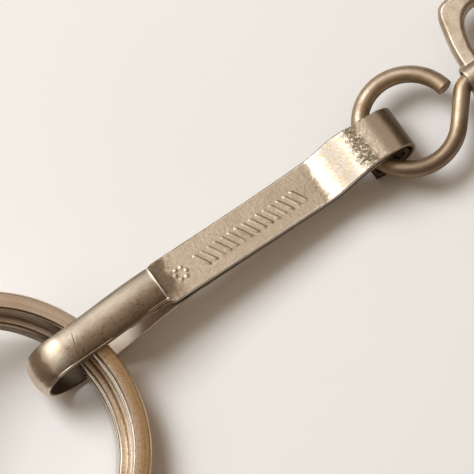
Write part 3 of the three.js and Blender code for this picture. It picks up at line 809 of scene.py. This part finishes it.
def gate_material():
    """Stamped plate: a polished ramp, a dark pitted band at its top, and brown painted shade on the
    loop's fold, on its returned end, beside the dome's end and on the lower face.
    """
    n = aged_metal("aged_nickel_gate", GATE_NICKEL, NICKEL_DULL, (0.38, 0.52), grain=GATE_GRAIN)
    along = n.attribute("along")
    across = n.attribute("across")
    pebbled = n.noise(2.7, detail=6, roughness=0.7)
    n.bump(pebbled, PEBBLES)
    n.stain_and_shade(n.band(pebbled, 0.52, 0.42), NICKEL_DULL, 0.55)
    uneven = n.unevenness(1.5, per_mm=1.1, detail=5)
    place = n.total(along, uneven)

    ramp = n.between(place, *GATE_RAMP, 0.7)
    n.stain_and_shade(ramp, POLISH_AND_HIGHLIGHT, 0.6)
    n.polish(ramp, 0.40, 0.7)
    patches = n.noise(2.2, detail=7, roughness=0.7)
    n.stain_and_shade(n.product(ramp, n.band(patches, 0.47, 0.60)), PALE_GOLD, 0.8)

    crest = n.between(place, *GATE_CREST, 0.9)
    n.stain_and_shade(crest, NICKEL_DULL, 0.7)
    crust = n.product(crest, n.band(n.noise(2.6, detail=8, roughness=0.78), 0.43, 0.58))
    n.stain_and_shade(crust, PIT_DARK, 0.75)
    n.dent(crust, CRUST_DEPTH)

    n.stain_and_shade(n.between(along, *GATE_LOOP_TOP, 0.5), PALE_PLATE, 0.5)
    # Painted shade: dark brown over the loop's fold, from where the strip turns down.
    n.stain_and_shade(n.band(n.total(along, n.product(uneven, 0.4)), *GATE_FOLD_SHADE_FADE), DARK_BROWN, 0.7)
    # Painted shade: the loop's returned end, under the loop, is painted dark brown.
    n.stain_and_shade(n.band(along, *GATE_UNDER_LOOP_SHADE_FADE), DARK_BROWN, 0.9)

    # Painted shade: a dark brown patch on the gate beside the dome's end, on its -Y side.
    shaded_side = n.band(across, *GATE_SHADE_BESIDE_DOME_SIDE)
    n.stain_and_shade(n.product(n.between(place, *GATE_SHADE_BESIDE_DOME, 0.8), shaded_side), DARK_BROWN, 0.85)
    pits = n.band(n.pit, 0.42, 0.56)
    n.stain_and_shade(n.product(n.between(place, *GATE_PITS, 1.0), pits), BROWN, 0.6)

    edge = n.band(n.size_of(across), *GATE_EDGE_FADE)
    n.stain_and_shade(n.product(edge, n.band(along, *GATE_POLISHED_EDGE_FADE)), POLISH_AND_HIGHLIGHT, 0.45)
    n.stain_and_shade(n.product(edge, n.between(along, *GATE_GOLDEN_EDGE, 1.0)), GOLDEN, 0.7)
    # Painted shade: the gate's lower face, under the strip, is darkened with dark brown.
    n.stain_and_shade(n.band(n.attribute("side"), 0.6, 0.4), DARK_BROWN, 0.7)
    return settle(n)


def hook_material():
    """Smoother plate: brown painted shade and mottled tarnish on the flank towards -Y, a bend with a
    painted dark crescent and a scratch, a painted highlight on the dome's rim, and painted shade
    inside.
    """
    n = aged_metal("aged_nickel_hook", GREY_NICKEL, NICKEL_DULL, (0.42, 0.54), pits=0.25)
    along = n.attribute("along")
    across = n.attribute("across")
    inside = n.band(n.attribute("side"), 0.4, 0.6)
    outside = n.band(n.attribute("side"), 0.6, 0.4)
    uneven = n.unevenness(2.2, per_mm=1.3, detail=6, roughness=0.65)
    place = n.total(along, n.product(uneven, 0.6))

    dome = n.product(outside, n.band(n.total(along, uneven), *HOOK_DOME_FADE))
    n.stain_and_shade(dome, GREY_DULL, 0.9)
    streaks = n.band(n.lines_along(across, along, 5.0, 0.35), 0.48, 0.66)
    n.stain_and_shade(n.product(dome, streaks), BROWN, 0.3)
    n.dent(streaks, STREAK_DEPTH)

    # Painted shade: the dome's flank towards -Y is darkened with brown; the mottles over it are
    # tarnish.
    flank_side = n.band(n.total(across, n.product(uneven, 0.4)), *HOOK_FLANK_SIDE)
    flank = n.product(outside, flank_side)
    n.stain_and_shade(n.product(flank, n.band(along, *HOOK_FLANK_SHADE_FADE)), BROWN, 0.8)
    mottled = n.band(n.noise(2.4, detail=7, roughness=0.72), 0.50, 0.64)
    n.stain_and_shade(n.product(flank, mottled, n.band(along, *HOOK_MOTTLES_FADE)), DARK_BROWN, 0.6)

    n.polish(n.product(outside, n.between(place, *HOOK_BEND, 0.9)), 0.44, 0.5)
    n.stain_and_shade(n.product(outside, n.between(along, *HOOK_LOWER_BEND, 1.2)), PALE_PLATE, 0.5)
    # Painted reflection: a dark brown crescent round the bend, beside its highlight.
    n.stain_and_shade(n.product(outside, n.between(place, *HOOK_DARK_REFLECTION, 0.7)), BROWN, 0.9)
    slanted = n.total(along, n.product(across, HOOK_SCRATCH_SLANT))
    scratch = n.product(n.between(slanted, *HOOK_SCRATCH, 0.05),
                        n.between(across, *HOOK_SCRATCH_SIDE, 0.2))
    n.stain_and_shade(scratch, PIT_DARK, 0.7)
    n.dent(scratch, SCRATCH_DEPTH)
    # Painted highlight: a pale line along the dome's cut end.
    n.stain_and_shade(n.band(along, *HOOK_RIM_HIGHLIGHT_FADE), POLISH_AND_HIGHLIGHT, 0.8)

    # Painted shade: the inner face inside the bend is darkened with dark brown.
    n.stain_and_shade(n.product(inside, n.between(along, *HOOK_SHADE_INSIDE_BEND, 1.5)), DARK_BROWN, 0.9)
    n.stain_and_shade(n.product(inside, n.band(along, *HOOK_LEAF_FADE)), PALE_PLATE, 0.6)
    # Painted shade: the inner face under the gate is darkened with dark brown.
    n.stain_and_shade(n.product(inside, n.band(along, *HOOK_SHADE_UNDER_GATE_FADE)), DARK_BROWN, 0.8)
    # Painted shade: the hook's cut end, under the loop, is painted dark brown.
    n.stain_and_shade(n.band(along, *HOOK_CUT_END_SHADE_FADE), DARK_BROWN, 0.9)
    return settle(n)


def ring_material():
    """Drawn wire: beige plating, worn to golden brass with a polished inner wall towards -Y, and
    painted shade on the rest of the inner wall, at the wire's inner corners and along its inner lower
    edge.
    """
    n = aged_metal("worn_ring_plating", PALE_PLATE, PLATE_SHADE, (0.32, 0.46), pits=0.3)
    lane = n.attribute("lane")
    level = n.attribute("level")
    drawn = n.band(n.lines_along(lane, n.attribute("along"), 8.0, 0.04, level), 0.50, 0.58)
    worn = n.band(n.place_y(), *RING_WORN_Y_FADE)
    shaded_wall = n.band(n.place_y(), *RING_SHADED_WALL_Y_FADE)
    n.stain_and_shade(n.product(worn, n.band(lane, *RING_GOLD_FADE)), RING_GOLD, 0.8)
    patches = n.noise(4.5, detail=6, roughness=0.7)
    n.stain_and_shade(n.product(worn, n.band(patches, 0.50, 0.64)), BROWN, 0.45)
    n.stain_and_shade(drawn, BROWN, 0.2)

    inner = n.band(lane, *RING_INNER_FADE)
    n.stain_and_shade(n.product(inner, worn), POLISH_AND_HIGHLIGHT, 0.7)
    n.polish(n.product(inner, worn), 0.10, 0.9)
    # Painted reflection of shade: the inner wall beyond the worn part is darkened with brown.
    n.stain_and_shade(n.product(inner, shaded_wall), BROWN, 0.85)
    n.stain_and_shade(n.product(inner, drawn), DARK_BROWN, 0.95)
    # Painted shade: dark brown at the wire's inner corners, where the coils meet.
    crevice_shade = n.band(n.size_of(level), *RING_CREVICE_SHADE_FADE)
    n.stain_and_shade(n.product(crevice_shade, n.band(lane, *RING_CREVICE_SHADE_SIDE)), DARK_BROWN, 1.0)
    # Painted shade: dark brown along the wire's inner lower edge.
    lower_edge_shade = n.band(level, *RING_LOWER_EDGE_SHADE_FADE)
    n.stain_and_shade(n.product(lower_edge_shade, n.band(lane, *RING_LOWER_EDGE_SHADE_SIDE)), DARK_BROWN, 0.85)
    n.dent(drawn, DRAWN_LINE_DEPTH)
    return settle(n)


def wire_material():
    """Dull round wire: golden inside the eye, with brown painted shade below and towards -Y."""
    n = aged_metal("dull_nickel_wire", WIRE_NICKEL, WIRE_DULL, (0.44, 0.58))
    n.stain_and_shade(n.band(n.attribute("outward"), 0.1, -0.7), GOLDEN, 0.35)
    # Painted shade: the underside of the wire is darkened with brown.
    n.stain_and_shade(n.band(n.attribute("lift"), 0.72, 0.1), BROWN, 0.85)
    # Painted shade: the wire is darkened with brown towards -Y.
    n.stain_and_shade(n.band(n.place_y(), *WIRE_SHADE_Y_FADE), BROWN, 0.7)
    return settle(n)


def bit_materials():
    """The metals of the bit's pieces, by slot."""
    return {
        "cast_nickel": settle(aged_metal(
            "cast_nickel", CAST_NICKEL, CAST_DULL, (0.36, 0.54), grain=CAST_GRAIN)),
        "mouth_steel": settle(aged_metal("mouth_metal", NICKEL, NICKEL_DULL, (0.22, 0.36), pits=0.2)),
        "nickel_wire": settle(aged_metal("rivet_metal", WIRE_NICKEL, WIRE_DULL, (0.34, 0.48))),
        "nickel_concho": settle(aged_metal(
            "concho_metal", NICKEL, NICKEL_DULL, (0.24, 0.38), pits=0.25)),
    }


# ---- table, light and camera ----------------------------------------------------------------

def build_table():
    """A wide pale top at the height that the object lies on."""
    mesh = bpy.data.meshes.new("table_top")
    s = TABLE_HALF_SIZE
    mesh.from_pydata([(-s, -s, 0), (s, -s, 0), (s, s, 0), (-s, s, 0)], [], [(0, 1, 2, 3)])
    table = bpy.data.objects.new("table_top", mesh)
    bpy.context.scene.collection.objects.link(table)
    n = Nodes("pale_table")
    tone = n.band(n.noise(0.01, detail=2), 0.3, 0.7)
    n.wire(n.mix(tone, TABLE_SHADE, TABLE_LIGHT), n.shader.inputs["Base Color"])
    n.shader.inputs["Roughness"].default_value = TABLE_ROUGHNESS
    mesh.materials.append(n.material)


def area_light(name, direction, size, watts, color):
    """A square light that shines on the origin from so far in a direction, unseen itself."""
    data = bpy.data.lights.new(name, "AREA")
    data.shape = "SQUARE"
    data.size = size
    data.energy = watts
    data.color = color
    light = bpy.data.objects.new(name, data)
    bpy.context.scene.collection.objects.link(light)
    away = Vector(direction).normalized()
    light.location = away * LIGHT_DISTANCE
    light.rotation_mode = "QUATERNION"
    light.rotation_quaternion = away.to_track_quat("Z", "Y")
    light.visible_camera = False


def build_light():
    """A cool window, a fainter one beside it, a warm ceiling and a warm room."""
    area_light("key_window", (-0.26, 0.60, 0.86), size=0.32, watts=3.42, color=(0.935, 0.972, 1.0))
    area_light("side_window", (-0.75, 0.26, 0.59), size=0.30, watts=0.43, color=(1.0, 0.97, 0.93))
    area_light("ceiling_panel", (0.35, 0.10, 0.93), size=0.80, watts=0.62, color=(1.0, 0.83, 0.67))
    world = bpy.data.worlds.new("studio")
    bpy.context.scene.world = world
    world.use_nodes = True
    background = world.node_tree.nodes["Background"]
    background.inputs["Color"].default_value = ROOM_COLOR
    background.inputs["Strength"].default_value = ROOM_STRENGTH


def build_camera():
    """A long lens above the hook, turned so that the hook runs up to the right."""
    data = bpy.data.cameras.new("camera")
    data.sensor_width = SENSOR_WIDTH
    data.lens = SENSOR_WIDTH * CAMERA_DISTANCE / CAMERA_FIELD
    data.clip_start, data.clip_end = CLIP_START, CLIP_END
    camera = bpy.data.objects.new("camera", data)
    bpy.context.scene.collection.objects.link(camera)
    right = CAMERA_RIGHT.normalized()
    back = CAMERA_BACK.normalized()
    right = (right - back * right.dot(back)).normalized()
    up = back.cross(right)
    turn = Matrix((right, up, back)).transposed()
    place = CAMERA_TARGET + back * CAMERA_DISTANCE
    camera.matrix_world = Matrix.Translation(place) @ turn.to_4x4()
    bpy.context.scene.camera = camera


# ---- the scene ------------------------------------------------------------------------------

build_gate().data.materials.append(gate_material())
build_hook_body().data.materials.append(hook_material())
build_split_ring().data.materials.append(ring_material())
build_eye().data.materials.append(wire_material())

rein_metal = settle(aged_metal("rein_ring_metal", PALE_PLATE, PLATE_SHADE, (0.30, 0.44)))
for rein_side in ("left", "right"):
    build_rein_ring(rein_side).data.materials.append(rein_metal)
build_bit(bit_materials())

build_table()
build_light()
build_camera()
bpy.context.scene.view_settings.view_transform = "Standard"
